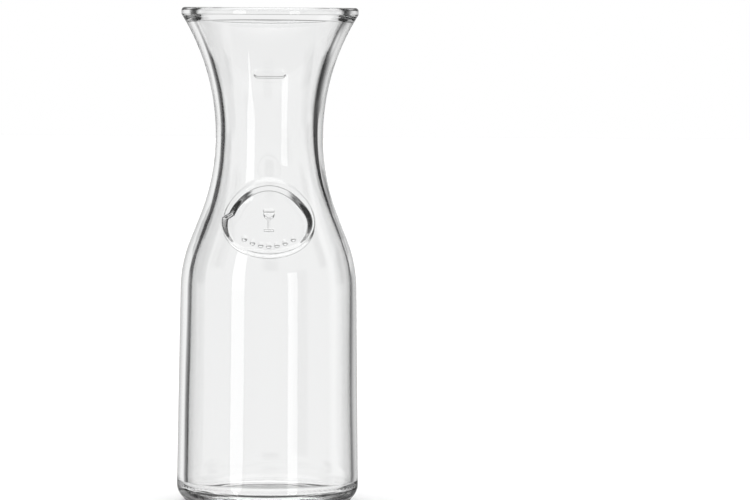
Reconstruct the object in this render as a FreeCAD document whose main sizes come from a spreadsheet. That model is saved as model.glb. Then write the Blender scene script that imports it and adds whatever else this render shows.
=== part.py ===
import FreeCAD, Part
import math
import os
import Sketcher

# One-litre wine decanter of clear pressed and blown glass, in millimetres.
# +Z is up, the origin is the centre of the foot on the table, and the seal faces -Y.
# The vessel is one revolved wall round one cavity.  The features that the mould leaves on it,
# the seal, the capacity line and the heel grip, are solids of their own seated on its skin.

DIMENSIONS = [
    ("height", 270.0, "foot to top of lip"),
    ("rim_radius", 48.2, "outside of the pouring lip"),
    ("lip_inner_radius", 40.4, "upright inner face of the lip"),
    ("lip_lower_edge", 0.8, "rounding under the lip"),
    ("lip_outer_edge", 1.8, "rounding at the top outside of the lip"),
    ("lip_inner_edge", 1.6, "rounding at the top inside of the lip"),
    ("waist_radius", 29.2, "narrowest outside radius of the neck"),
    ("waist_height", 200.0, "height of the narrowest place"),
    ("flare_arc_radius", 125.0, "outside curve from waist to lip"),
    ("flare_inside_radius", 140.0, "inside curve from waist to lip, where the wall thickens"),
    ("neck_arc_radius", 118.0, "outside curve from waist down to shoulder cone"),
    ("shoulder_angle", 21.5, "lean of the shoulder cone from upright, degrees"),
    ("shoulder_arc_radius", 74.0, "outside curve from shoulder cone to body"),
    ("body_radius", 49.5, "outside radius just above the heel"),
    ("body_taper", 0.8, "lean of the body wall from upright, degrees"),
    ("heel_radius", 10.0, "rounding from body wall to foot"),
    ("bearing_inner_radius", 34.0, "inside edge of the flat bearing ring"),
    ("push_up", 3.2, "rise of the underside at the centre"),
    ("floor_height", 8.2, "inside floor above the table"),
    ("cavity_corner", 4.0, "inside rounding from floor to wall"),
    ("wall", 4.6, "glass wall thickness"),
    ("seal_height", 157.3, "height of the middle of the seal"),
    ("seal_half_width", 24.8, "half width of the seal's outer edge"),
    ("seal_half_tall", 21.6, "half height of the seal's outer edge"),
    ("seal_egg", 0.18, "how much wider the seal is low down than high up"),
    ("field_drop", 1.9, "how far the seal's field sits below its middle"),
    ("field_half_width", 18.8, "half width of the field inside the border"),
    ("field_half_tall", 15.8, "half height of the field inside the border"),
    ("pad_relief", 0.6, "how far the field stands off the shoulder"),
    ("border_relief", 2.8, "how far the border stands off the shoulder"),
    ("emblem_relief", 1.4, "how far the emblem stands off the shoulder"),
    ("emblem_height", 155.7, "height of the middle of the emblem"),
    ("emblem_tall", 11.6, "height of the stemmed glass"),
    ("bowl_radius", 3.1, "half width of its bowl"),
    ("bowl_side", 2.2, "straight side above the round of its bowl"),
    ("stem_width", 1.3, "width of its stem"),
    ("foot_width", 5.4, "width of its foot"),
    ("foot_tall", 1.2, "thickness of its foot"),
    ("bead_radius", 1.6, "radius of each bead"),
    ("bead_count", 7.0, "beads in the arc"),
    ("bead_arc_width", 13.0, "half width of the arc of beads"),
    ("bead_arc_rise", 3.5, "how far the outer beads sit above the middle one"),
    ("bead_arc_height", 142.4, "height of the middle bead"),
    ("bead_skin", 3.0, "depth of the layer that the beads are cut from"),
    ("line_height", 234.6, "height of the middle of the capacity line"),
    ("line_half_width", 8.9, "half width of the capacity line"),
    ("line_half_tall", 2.5, "half height of the capacity line"),
    ("line_relief", 0.5, "how far the capacity line stands off the neck"),
    ("grip_radius", 1.4, "radius of each grip bump's ball"),
    ("grip_relief", 0.35, "how far each grip bump stands off the heel"),
    ("grip_count", 72.0, "grip bumps in each row"),
    ("grip_low_angle", 21.0, "lower row, degrees round the heel from straight down"),
    ("grip_row_step", 14.0, "angle between rows of bumps, degrees"),
    ("grip_rows", 2.0, "rows of bumps"),
]
# A raised feature is cut from a thin layer over the front of the glass, by a bar towards -Y.
# The layer spans this many degrees, and stands above and below the seal by this much.
SKIN_ANGLE = 110
SKIN_MARGIN = 1.25
EGG_POINTS = 36
TOOL_REACH = 70.0
SHEET_NAME = "dimensions"
# How a sketch numbers the places on a piece, its own origin and its own axes.
START, END, CENTRE = 1, 2, 3
ORIGIN = (-1, 1)
FLAT_AXIS = -1
UPRIGHT_AXIS = -2

doc = FreeCAD.newDocument("decanter")


def fill_sheet():
    """Write the driving dimensions into a sheet and return them as numbers."""
    sheet = doc.addObject("Spreadsheet::Sheet", SHEET_NAME)
    for row, (alias, value, note) in enumerate(DIMENSIONS, start=1):
        sheet.set("A%d" % row, note)
        sheet.set("B%d" % row, str(value))
        sheet.setAlias("B%d" % row, alias)
    doc.recompute()
    return {alias: value for alias, value, note in DIMENSIONS}


def cells(expression):
    """Turn every dimension's name in an expression into its cell of the sheet."""
    names = sorted((alias for alias, value, note in DIMENSIONS), key=len, reverse=True)
    words = expression.replace("(", " ( ").replace(")", " ) ").split()
    return " ".join("%s.%s" % (SHEET_NAME, word) if word in names else word for word in words)


def bind(thing, prop, expression):
    thing.setExpression(prop, cells(expression))


def polar(centre, radius, degrees):
    """The point at an angle round a centre, anticlockwise from the +X side."""
    angle = math.radians(degrees)
    return (centre[0] + radius * math.cos(angle), centre[1] + radius * math.sin(angle))


class Outline:
    """A closed run of lines and arcs in a sketch, with its constraints and dimensions."""

    def __init__(self, sketch):
        self.sketch = sketch
        self.ends = {}

    def line(self, first, last):
        edge = Part.LineSegment(FreeCAD.Vector(*first, 0), FreeCAD.Vector(*last, 0))
        index = self.sketch.addGeometry(edge)
        self.ends[index] = (START, END)
        return index

    def arc(self, centre, radius, first, last):
        """An arc from one angle to another, in degrees, turning either way."""
        circle = Part.Circle(FreeCAD.Vector(*centre, 0), FreeCAD.Vector(0, 0, 1), radius)
        low, high = sorted((math.radians(first), math.radians(last)))
        index = self.sketch.addGeometry(Part.ArcOfCircle(circle, low, high))
        self.ends[index] = (START, END) if last > first else (END, START)
        return index

    def first(self, index):
        return (index, self.ends[index][0])

    def last(self, index):
        return (index, self.ends[index][1])

    def rule(self, kind, *places):
        self.sketch.addConstraint(Sketcher.Constraint(kind, *places))

    def join(self, before, after, smooth=True):
        kind = "Tangent" if smooth else "Coincident"
        self.rule(kind, *self.last(before), *self.first(after))

    def chain(self, *pieces):
        for before, after in zip(pieces, pieces[1:]):
            self.join(before, after)

    def size(self, name, kind, places, value, expression):
        """Add a named dimension and bind it to the sheet."""
        index = self.sketch.addConstraint(Sketcher.Constraint(kind, *places, value))
        self.sketch.renameConstraint(index, name)
        bind(self.sketch, "Constraints." + name, expression)

    def measure(self, name, kind, places, value):
        """Add a named reference dimension, which other sketches read."""
        index = self.sketch.addConstraint(Sketcher.Constraint(kind, *places, value))
        self.sketch.setDriving(index, False)
        self.sketch.renameConstraint(index, name)

    def radius(self, name, index, value, expression):
        self.size(name, "Radius", (index,), value, expression)

    def place_x(self, name, place, value, expression):
        self.size(name, "DistanceX", ORIGIN + place, value, expression)

    def place_y(self, name, place, value, expression):
        self.size(name, "DistanceY", ORIGIN + place, value, expression)


def new_body(label):
    body = doc.addObject("PartDesign::Body", label)
    body.Label = label
    return body


def new_sketch(body, name, role):
    """A sketch on one of the body's own origin planes."""
    sketch = body.newObject("Sketcher::SketchObject", name)
    plane = next(plane for plane in body.Origin.OriginFeatures if plane.Role == role)
    sketch.AttachmentSupport = [(plane, "")]
    sketch.MapMode = "FlatFace"
    return sketch


def revolve(body, sketch, name, angle):
    """Turn a sketch about its upright axis, half the angle to each side of its plane."""
    turn = body.newObject("PartDesign::Revolution", name)
    turn.Profile = sketch
    turn.ReferenceAxis = (sketch, ["V_Axis"])
    turn.Angle = angle
    turn.Midplane = angle < 360
    return turn


def shoulder_centre(d):
    """Centre of the shoulder curve, which touches the shoulder cone and the body wall."""
    cone = math.radians(d["shoulder_angle"])
    taper = math.radians(d["body_taper"])
    reach = d["shoulder_arc_radius"]
    neck = (d["waist_radius"] + d["neck_arc_radius"], d["waist_height"])
    heel = (d["body_radius"] - d["heel_radius"] * math.cos(taper), d["heel_radius"])
    cone_side = neck[0] * math.cos(cone) + neck[1] * math.sin(cone) - d["neck_arc_radius"] - reach
    body_side = heel[0] * math.cos(taper) + heel[1] * math.sin(taper) + d["heel_radius"] - reach
    turn = math.sin(cone - taper)
    across = (body_side * math.sin(cone) - cone_side * math.sin(taper)) / turn
    up = (cone_side * math.cos(taper) - body_side * math.cos(cone)) / turn
    return (across, up)


def skin_radius(d, height):
    """Outside radius of the shoulder below its cone, and of the cone and neck above it."""
    centre = shoulder_centre(d)
    cone = math.radians(d["shoulder_angle"])
    reach = d["shoulder_arc_radius"]
    top_of_curve = centre[1] + reach * math.sin(cone)
    if height <= top_of_curve:
        return centre[0] + math.sqrt(reach ** 2 - (height - centre[1]) ** 2)
    foot_of_cone = centre[0] + reach * math.cos(cone)
    return foot_of_cone - (height - top_of_curve) * math.tan(cone)


def draw_foot(run, d):
    """Underside, bearing ring, heel and body wall; returns the first and last piece."""
    inner = d["bearing_inner_radius"]
    rise = d["push_up"]
    dome = (inner ** 2 + rise ** 2) / (2 * rise)
    taper = d["body_taper"]
    heel = d["heel_radius"]
    heel_centre = (d["body_radius"] - heel * math.cos(math.radians(taper)), heel)
    shoulder = shoulder_centre(d)
    edge_angle = math.degrees(math.atan2(dome - rise, inner))
    underside = run.arc((0, rise - dome), dome, 90, edge_angle)
    bearing = run.line((inner, 0), (heel_centre[0], 0))
    heel_arc = run.arc(heel_centre, heel, -90, taper)
    side = run.line(polar(heel_centre, heel, taper), polar(shoulder, d["shoulder_arc_radius"], taper))
    run.join(underside, bearing, smooth=False)
    run.chain(bearing, heel_arc, side)
    run.rule("PointOnObject", *run.first(underside), UPRIGHT_AXIS)
    run.rule("PointOnObject", underside, CENTRE, UPRIGHT_AXIS)
    run.rule("PointOnObject", *run.first(bearing), FLAT_AXIS)
    run.rule("Horizontal", bearing)
    run.place_y("push_up_rise", run.first(underside), rise, "push_up")
    run.place_x("bearing_start", run.first(bearing), inner, "bearing_inner_radius")
    run.radius("heel_curve", heel_arc, heel, "heel_radius")
    run.place_x("body_wall", run.first(side), d["body_radius"], "body_radius")
    run.size("taper_angle", "Angle", (side,), math.radians(90 + taper), "(90 + body_taper) * 1 deg")
    return underside, side


def draw_outside(run, d, side):
    """Shoulder, neck and flare above the body wall; returns the pieces in order."""
    cone = d["shoulder_angle"]
    shoulder = shoulder_centre(d)
    neck = (d["waist_radius"] + d["neck_arc_radius"], d["waist_height"])
    flare = (d["waist_radius"] + d["flare_arc_radius"], d["waist_height"])
    lip = lip_edge_centre(d)
    flare_end = math.degrees(math.atan2(lip[1] - flare[1], lip[0] - flare[0]))
    shoulder_arc = run.arc(shoulder, d["shoulder_arc_radius"], d["body_taper"], cone)
    slope = run.line(polar(shoulder, d["shoulder_arc_radius"], cone),
                     polar(neck, d["neck_arc_radius"], 180 + cone))
    neck_arc = run.arc(neck, d["neck_arc_radius"], 180 + cone, 180)
    flare_arc = run.arc(flare, d["flare_arc_radius"], 180, flare_end)
    run.chain(side, shoulder_arc, slope, neck_arc, flare_arc)
    run.radius("shoulder_curve", shoulder_arc, d["shoulder_arc_radius"], "shoulder_arc_radius")
    run.radius("neck_curve", neck_arc, d["neck_arc_radius"], "neck_arc_radius")
    run.radius("flare_curve", flare_arc, d["flare_arc_radius"], "flare_arc_radius")
    run.size("cone_angle", "Angle", (slope,), math.radians(90 + cone), "(90 + shoulder_angle) * 1 deg")
    run.place_x("waist_out", run.first(flare_arc), d["waist_radius"], "waist_radius")
    run.place_y("waist_up", run.first(flare_arc), d["waist_height"], "waist_height")
    run.rule("Horizontal", flare_arc, CENTRE, *run.first(flare_arc))
    run.measure("shoulder_across", "DistanceX", (shoulder_arc, CENTRE) + ORIGIN, -shoulder[0])
    run.measure("shoulder_up", "DistanceY", ORIGIN + (shoulder_arc, CENTRE), shoulder[1])
    return shoulder_arc, neck_arc, flare_arc


def lip_edge_centre(d):
    """Centre of the small round under the lip, which touches the flare and the lip's side."""
    edge = d["lip_lower_edge"]
    across = d["rim_radius"] - edge
    reach = d["flare_arc_radius"] + edge
    from_flare = d["waist_radius"] + d["flare_arc_radius"] - across
    return (across, d["waist_height"] + math.sqrt(reach ** 2 - from_flare ** 2))


def flare_inside_centre(d):
    """Centre of the inside flare, which leaves the waist upright."""
    return (d["waist_radius"] - d["wall"] + d["flare_inside_radius"], d["waist_height"])


def draw_lip(run, d, flare_arc):
    """The thick pouring lip; returns its upright inner face."""
    rim, bore, top = d["rim_radius"], d["lip_inner_radius"], d["height"]
    outer, inner = d["lip_outer_edge"], d["lip_inner_edge"]
    flare = (d["waist_radius"] + d["flare_arc_radius"], d["waist_height"])
    under_centre = lip_edge_centre(d)
    under_start = math.degrees(math.atan2(flare[1] - under_centre[1], flare[0] - under_centre[0]))
    from_inside = flare_inside_centre(d)[0] - bore
    bore_foot = d["waist_height"] + math.sqrt(d["flare_inside_radius"] ** 2 - from_inside ** 2)
    under = run.arc(under_centre, d["lip_lower_edge"], under_start, 0)
    band = run.line((rim, under_centre[1]), (rim, top - outer))
    outer_arc = run.arc((rim - outer, top - outer), outer, 0, 90)
    crown = run.line((rim - outer, top), (bore + inner, top))
    inner_arc = run.arc((bore + inner, top - inner), inner, 90, 180)
    bore_face = run.line((bore, top - inner), (bore, bore_foot))
    run.chain(flare_arc, under, band, outer_arc, crown, inner_arc, bore_face)
    run.rule("Vertical", band)
    run.rule("Horizontal", crown)
    run.rule("Vertical", bore_face)
    run.radius("under_edge", under, d["lip_lower_edge"], "lip_lower_edge")
    run.radius("outer_edge", outer_arc, outer, "lip_outer_edge")
    run.radius("inner_edge", inner_arc, inner, "lip_inner_edge")
    run.place_x("rim_out", run.first(band), rim, "rim_radius")
    run.place_y("rim_up", run.first(crown), top, "height")
    run.place_x("bore_out", run.first(bore_face), bore, "lip_inner_radius")
    return bore_face


def draw_inside(run, d, bore_face, side, outside):
    """The cavity wall, parallel to the outside below the waist, and its floor; returns the floor."""
    shoulder_arc, neck_arc = outside[:2]
    wall, corner, cone, taper = d["wall"], d["cavity_corner"], d["shoulder_angle"], d["body_taper"]
    shoulder = shoulder_centre(d)
    neck = (d["waist_radius"] + d["neck_arc_radius"], d["waist_height"])
    flare = flare_inside_centre(d)
    bore_reach = flare[0] - d["lip_inner_radius"]
    bore_angle = 180 - math.degrees(math.acos(bore_reach / d["flare_inside_radius"]))
    lean = math.radians(taper)
    corner_up = d["floor_height"] + corner
    corner_side = d["shoulder_arc_radius"] - wall - corner
    corner_across = (corner_side - (corner_up - shoulder[1]) * math.sin(lean)) / math.cos(lean)
    corner_centre = (shoulder[0] + corner_across, corner_up)
    flare_in = run.arc(flare, d["flare_inside_radius"], bore_angle, 180)
    neck_in = run.arc(neck, d["neck_arc_radius"] + wall, 180, 180 + cone)
    slope_in = run.line(polar(neck, d["neck_arc_radius"] + wall, 180 + cone),
                        polar(shoulder, d["shoulder_arc_radius"] - wall, cone))
    shoulder_in = run.arc(shoulder, d["shoulder_arc_radius"] - wall, cone, taper)
    side_in = run.line(polar(shoulder, d["shoulder_arc_radius"] - wall, taper),
                       polar(corner_centre, corner, taper))
    corner_arc = run.arc(corner_centre, corner, taper, -90)
    floor = run.line((corner_centre[0], d["floor_height"]), (0, d["floor_height"]))
    run.join(bore_face, flare_in, smooth=False)
    run.chain(flare_in, neck_in, slope_in, shoulder_in, side_in, corner_arc, floor)
    run.rule("Horizontal", flare_in, CENTRE, *run.last(flare_in))
    run.rule("Coincident", neck_in, CENTRE, neck_arc, CENTRE)
    run.rule("Coincident", shoulder_in, CENTRE, shoulder_arc, CENTRE)
    run.rule("Horizontal", floor)
    run.radius("flare_inside", flare_in, d["flare_inside_radius"], "flare_inside_radius")
    run.radius("shoulder_inside", shoulder_in, d["shoulder_arc_radius"] - wall,
               "shoulder_arc_radius - wall")
    run.radius("corner_inside", corner_arc, corner, "cavity_corner")
    run.place_y("floor_up", run.last(floor), d["floor_height"], "floor_height")
    run.rule("PointOnObject", *run.last(floor), UPRIGHT_AXIS)
    run.rule("Parallel", side_in, side)
    return floor


def make_vessel(d):
    """The whole glass wall as one revolved section."""
    body = new_body("glass_vessel")
    sketch = new_sketch(body, "vessel_section", "XZ_Plane")
    run = Outline(sketch)
    underside, side = draw_foot(run, d)
    outside = draw_outside(run, d, side)
    bore_face = draw_lip(run, d, outside[2])
    floor = draw_inside(run, d, bore_face, side, outside)
    centre_line = run.line((0, d["floor_height"]), (0, d["push_up"]))
    run.join(floor, centre_line, smooth=False)
    run.join(centre_line, underside, smooth=False)
    revolve(body, sketch, "vessel_wall", 360)
    return body


def close_layer(run, near, far):
    """Join a layer's near and far faces with a short edge at each end."""
    for one, two in ((run.first(near[0]), run.first(far[0])), (run.last(near[-1]), run.last(far[-1]))):
        start = run.sketch.getPoint(*one)
        finish = run.sketch.getPoint(*two)
        edge = run.line((start.x, start.y), (finish.x, finish.y))
        run.rule("Coincident", *one, *run.first(edge))
        run.rule("Coincident", *two, *run.last(edge))


def draw_shoulder_face(run, d, side, relief, cell):
    """One face of a layer over the shoulder, a set distance off the glass."""
    shoulder = shoulder_centre(d)
    neck = (d["waist_radius"] + d["neck_arc_radius"], d["waist_height"])
    cone = d["shoulder_angle"]
    bottom = d["seal_height"] - SKIN_MARGIN * d["seal_half_tall"]
    top = d["seal_height"] + SKIN_MARGIN * d["seal_half_tall"]
    shoulder_reach = d["shoulder_arc_radius"] + relief
    neck_reach = d["neck_arc_radius"] - relief
    start = math.degrees(math.asin((bottom - shoulder[1]) / shoulder_reach))
    finish = 180 + math.degrees(math.asin((neck[1] - top) / neck_reach))
    curve = run.arc(shoulder, shoulder_reach, start, cone)
    slope = run.line(polar(shoulder, shoulder_reach, cone), polar(neck, neck_reach, 180 + cone))
    neck_arc = run.arc(neck, neck_reach, 180 + cone, finish)
    run.chain(curve, slope, neck_arc)
    run.radius(side + "_curve", curve, shoulder_reach, "shoulder_arc_radius + " + cell)
    run.radius(side + "_neck", neck_arc, neck_reach, "neck_arc_radius - " + cell)
    run.size(side + "_curve_across", "DistanceX", (curve, CENTRE) + ORIGIN, -shoulder[0],
             "vessel_section.Constraints.shoulder_across")
    run.place_y(side + "_curve_up", (curve, CENTRE), shoulder[1],
                "vessel_section.Constraints.shoulder_up")
    run.place_x(side + "_neck_across", (neck_arc, CENTRE), neck[0], "waist_radius + neck_arc_radius")
    run.place_y(side + "_neck_up", (neck_arc, CENTRE), neck[1], "waist_height")
    run.place_y(side + "_bottom", run.first(curve), bottom,
                "seal_height - %s * seal_half_tall" % SKIN_MARGIN)
    run.place_y(side + "_top", run.last(neck_arc), top,
                "seal_height + %s * seal_half_tall" % SKIN_MARGIN)
    return curve, slope, neck_arc


def sweep_layer(body, sketch):
    """Turn a layer's section round the front of the decanter."""
    revolve(body, sketch, body.Label + "_sweep", SKIN_ANGLE)
    body.Placement = FreeCAD.Placement(FreeCAD.Vector(), FreeCAD.Rotation(FreeCAD.Vector(0, 0, 1), -90))
    return body


def make_shoulder_layer(label, d, low, high):
    """A layer over the front of the shoulder, from one relief to another."""
    body = new_body(label)
    run = Outline(new_sketch(body, label + "_section", "XZ_Plane"))
    near = draw_shoulder_face(run, d, "near", d.get(low, 0.0), low or "0")
    far = draw_shoulder_face(run, d, "far", d[high], high)
    close_layer(run, near, far)
    return sweep_layer(body, run.sketch)


def make_neck_layer(label, d, high):
    """A layer over the front of the neck where the capacity line stands."""
    flare = (d["waist_radius"] + d["flare_arc_radius"], d["waist_height"])
    low = d["line_height"] - 2 * d["line_half_tall"]
    top = d["line_height"] + 2 * d["line_half_tall"]
    body = new_body(label)
    run = Outline(new_sketch(body, label + "_section", "XZ_Plane"))
    faces = []
    for side, relief, cell in (("near", 0.0, "0"), ("far", d[high], high)):
        reach = d["flare_arc_radius"] - relief
        start = 180 - math.degrees(math.asin((low - flare[1]) / reach))
        finish = 180 - math.degrees(math.asin((top - flare[1]) / reach))
        curve = run.arc(flare, reach, start, finish)
        run.radius(side + "_curve", curve, reach, "flare_arc_radius - " + cell)
        run.place_x(side + "_across", (curve, CENTRE), flare[0], "waist_radius + flare_arc_radius")
        run.place_y(side + "_up", (curve, CENTRE), flare[1], "waist_height")
        run.place_y(side + "_bottom", run.first(curve), low, "line_height - 2 * line_half_tall")
        run.place_y(side + "_top", run.last(curve), top, "line_height + 2 * line_half_tall")
        faces.append((curve,))
    close_layer(run, *faces)
    return sweep_layer(body, run.sketch)


def add(kind, name):
    thing = doc.addObject(kind, name)
    thing.Label = name
    return thing


def egg_prism(name, d, half_width, half_tall, middle):
    """A bar towards -Y with the seal's outline: an oval that is wider low down."""
    points = []
    for step in range(EGG_POINTS):
        angle = 2 * math.pi * step / EGG_POINTS
        across = half_width * math.cos(angle) * (1 - d["seal_egg"] * math.sin(angle))
        points.append(FreeCAD.Vector(across, 0, middle + half_tall * math.sin(angle)))
    curve = Part.BSplineCurve()
    curve.interpolate(points, PeriodicFlag=True)
    prism = add("Part::Feature", name)
    prism.Shape = Part.Face(Part.Wire(curve.toShape())).extrude(FreeCAD.Vector(0, -TOOL_REACH, 0))
    return prism


def bar(name, width, tall, across, up):
    """A rectangular bar towards -Y; its sizes and its middle are expressions."""
    box = add("Part::Box", name)
    box.Width = TOOL_REACH
    bind(box, "Length", width)
    bind(box, "Height", tall)
    bind(box, "Placement.Base.x", "%s - ( %s ) / 2" % (across, width))
    bind(box, "Placement.Base.z", "%s - ( %s ) / 2" % (up, tall))
    box.Placement.Base.y = -TOOL_REACH
    return box


def rod(name, radius, across, up, angle=360):
    """A round bar towards -Y, or its lower part where the angle is under 360 degrees."""
    cylinder = add("Part::Cylinder", name)
    cylinder.Height = TOOL_REACH
    cylinder.Angle = angle
    bind(cylinder, "Radius", radius)
    forward = FreeCAD.Rotation(FreeCAD.Vector(1, 0, 0), 90)
    half_turn = FreeCAD.Rotation(FreeCAD.Vector(0, 0, 1), 180)
    cylinder.Placement = FreeCAD.Placement(FreeCAD.Vector(), forward.multiply(half_turn))
    bind(cylinder, "Placement.Base.x", across)
    bind(cylinder, "Placement.Base.z", up)
    return cylinder


def fuse(name, pieces):
    union = add("Part::MultiFuse", name)
    union.Shapes = pieces
    return union


def cut(name, base, tool):
    rest = add("Part::Cut", name)
    rest.Base = base
    rest.Tool = tool
    return rest


def common(name, base, tool):
    shared = add("Part::Common", name)
    shared.Base = base
    shared.Tool = tool
    return shared


def make_seal_field(d):
    """The low oval field and the raised border round it."""
    field_height = d["seal_height"] - d["field_drop"]
    field = egg_prism("field_bar", d, d["field_half_width"], d["field_half_tall"], field_height)
    whole = egg_prism("seal_bar", d, d["seal_half_width"], d["seal_half_tall"], d["seal_height"])
    pad_layer = make_shoulder_layer("pad_layer", d, "", "pad_relief")
    border_layer = make_shoulder_layer("border_layer", d, "", "border_relief")
    ring = cut("border_bar", whole, field)
    return common("seal_pad", pad_layer, field), common("seal_border", border_layer, ring)


def make_emblem(d):
    """A plain stemmed glass: a round-bottomed bowl, a stem and a foot."""
    tools = [
        bar("bowl_upper", "2 * bowl_radius", "bowl_side", "0",
            "emblem_height + emblem_tall / 2 - bowl_side / 2"),
        rod("bowl_lower", "bowl_radius", "0", "emblem_height + emblem_tall / 2 - bowl_side", 180),
        bar("stem", "stem_width", "emblem_tall - bowl_side", "0", "emblem_height - bowl_side / 2"),
        bar("foot", "foot_width", "foot_tall", "0", "emblem_height - emblem_tall / 2 + foot_tall / 2"),
    ]
    layer = make_shoulder_layer("emblem_layer", d, "pad_relief", "emblem_relief")
    return common("seal_emblem", layer, fuse("emblem_bar", tools))


def make_beads(d):
    """Domed beads in a shallow arc under the emblem."""
    balls = []
    count = int(d["bead_count"])
    for number in range(count):
        place = 2 * number / (count - 1) - 1
        across = place * d["bead_arc_width"]
        up = d["bead_arc_height"] + d["bead_arc_rise"] * place ** 2
        out = math.sqrt(skin_radius(d, up) ** 2 - across ** 2)
        ball = add("Part::Sphere", "bead_%d" % (number + 1))
        bind(ball, "Radius", "bead_radius")
        ball.Placement.Base = FreeCAD.Vector(across, -out, up)
        balls.append(ball)
    layer = make_shoulder_layer("bead_layer", d, "pad_relief", "bead_skin")
    return common("seal_beads", layer, fuse("bead_balls", balls))


def make_fill_line(d):
    """The capacity line, a low bar with round ends."""
    tools = [
        bar("line_middle", "2 * line_half_width - 2 * line_half_tall", "2 * line_half_tall", "0",
            "line_height"),
        rod("line_right_end", "line_half_tall", "line_half_width - line_half_tall", "line_height"),
        rod("line_left_end", "line_half_tall", "line_half_tall - line_half_width", "line_height"),
    ]
    layer = make_neck_layer("line_layer", d, "line_relief")
    return common("fill_line", layer, fuse("line_bar", tools))


def make_heel_stipple(d, vessel):
    """Rows of low bumps round the heel, each one a ball's cap, seated on the glass."""
    count = int(d["grip_count"])
    heel_across = d["body_radius"] - d["heel_radius"] * math.cos(math.radians(d["body_taper"]))
    ball_reach = d["heel_radius"] + d["grip_relief"] - d["grip_radius"]
    bumps = []
    for row in range(int(d["grip_rows"])):
        angle = math.radians(d["grip_low_angle"] + row * d["grip_row_step"])
        centre = FreeCAD.Vector(0, -heel_across - ball_reach * math.sin(angle),
                                d["heel_radius"] - ball_reach * math.cos(angle))
        bump = Part.makeSphere(d["grip_radius"], centre).cut(vessel.Shape)
        for number in range(count):
            turned = bump.copy()
            turned.rotate(FreeCAD.Vector(), FreeCAD.Vector(0, 0, 1), (number + row / 2) * 360 / count)
            bumps.append(turned)
    stipple = add("Part::Feature", "heel_stipple")
    stipple.Shape = Part.makeCompound(bumps)
    return stipple


def check_document():
    """Stop if any object of the document failed to compute."""
    for thing in doc.Objects:
        if "Invalid" in thing.State or "Error" in thing.State:
            raise RuntimeError("%s failed: %s" % (thing.Label, thing.State))


def write_parts(nodes, solid_counts):
    """Check each sub-part's shape, and write it under its label."""
    os.makedirs("parts", exist_ok=True)
    for node in nodes:
        shape = node.Shape
        if shape.isNull() or not shape.isValid():
            raise RuntimeError("%s has no valid shape" % node.Label)
        if len(shape.Solids) != solid_counts[node.Label]:
            raise RuntimeError("%s has %d solids" % (node.Label, len(shape.Solids)))
        shape.exportStep(os.path.join("parts", node.Label + ".step"))
        print("%-14s %4d solids %12.3f mm3" % (node.Label, len(shape.Solids), shape.Volume))


def main():
    d = fill_sheet()
    vessel = make_vessel(d)
    doc.recompute()
    nodes = [vessel, *make_seal_field(d), make_emblem(d), make_beads(d), make_fill_line(d),
             make_heel_stipple(d, vessel)]
    doc.recompute()
    check_document()
    solid_counts = {node.Label: 1 for node in nodes}
    solid_counts["seal_beads"] = int(d["bead_count"])
    solid_counts["heel_stipple"] = int(d["grip_count"] * d["grip_rows"])
    write_parts(nodes, solid_counts)


main()
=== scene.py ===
import math

import bpy
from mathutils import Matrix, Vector


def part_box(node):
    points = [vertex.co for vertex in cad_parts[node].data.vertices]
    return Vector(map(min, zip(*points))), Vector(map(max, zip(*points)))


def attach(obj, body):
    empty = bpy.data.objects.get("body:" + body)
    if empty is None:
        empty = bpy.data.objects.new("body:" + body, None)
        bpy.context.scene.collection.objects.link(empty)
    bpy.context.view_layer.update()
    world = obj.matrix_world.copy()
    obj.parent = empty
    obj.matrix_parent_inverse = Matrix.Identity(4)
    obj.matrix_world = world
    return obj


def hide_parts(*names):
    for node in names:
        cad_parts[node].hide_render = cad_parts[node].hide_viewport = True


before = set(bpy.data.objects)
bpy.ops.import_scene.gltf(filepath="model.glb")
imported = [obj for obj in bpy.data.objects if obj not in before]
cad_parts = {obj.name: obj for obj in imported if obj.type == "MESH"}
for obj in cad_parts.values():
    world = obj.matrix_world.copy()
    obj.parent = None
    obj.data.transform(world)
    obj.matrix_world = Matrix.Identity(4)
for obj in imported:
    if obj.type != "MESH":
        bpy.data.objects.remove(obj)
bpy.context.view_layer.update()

MM = 0.001

# The vessel's outline, as in its CAD part, in metres.
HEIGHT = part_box("glass_vessel")[1].z
RIM_RADIUS = 48.2 * MM
BORE_RADIUS = 40.4 * MM
LIP_LOWER_EDGE = 0.8 * MM
LIP_OUTER_EDGE = 1.8 * MM
LIP_INNER_EDGE = 1.6 * MM
WAIST_RADIUS = 29.2 * MM
WAIST_HEIGHT = 200.0 * MM
FLARE_ARC = 125.0 * MM
FLARE_INSIDE_ARC = 140.0 * MM
NECK_ARC = 118.0 * MM
SHOULDER_ANGLE = 21.5
SHOULDER_ARC = 74.0 * MM
BODY_RADIUS = 49.5 * MM
BODY_TAPER = 0.8
HEEL_ARC = 10.0 * MM
BEARING_RADIUS = 34.0 * MM
PUSH_UP = 3.2 * MM
FLOOR_HEIGHT = 8.2 * MM
CAVITY_CORNER = 4.0 * MM
WALL = 4.6 * MM

# The seal: an oval field inside a raised border, wider low down.
SEAL_HEIGHT = 157.3 * MM
SEAL_HALF_WIDTH = 24.8 * MM
SEAL_HALF_TALL = 21.6 * MM
SEAL_EGG = 0.18
FIELD_HEIGHT = 155.4 * MM
FIELD_HALF_WIDTH = 18.8 * MM
FIELD_HALF_TALL = 15.8 * MM
PAD_RELIEF = 0.5 * MM
BORDER_RELIEF = 2.7 * MM
BORDER_SLOPE = 0.42
BORDER_BROW = 0.68
BORDER_BROW_LIMIT = 0.88
BORDER_DROOP = 0.06
BORDER_DROOP_LEAD = 0.1

# How far out the border's crest drifts at the sides, and the places between which it does.
BORDER_DRIFT_LEFT = 0.5
BORDER_DRIFT_RIGHT = 0.22
DRIFT_SIDES = (8 * MM, 15 * MM)
DRIFT_LEFT_TOP = (155.5 * MM, 158.5 * MM)
DRIFT_RIGHT_TOP = (154 * MM, 166 * MM)

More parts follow.
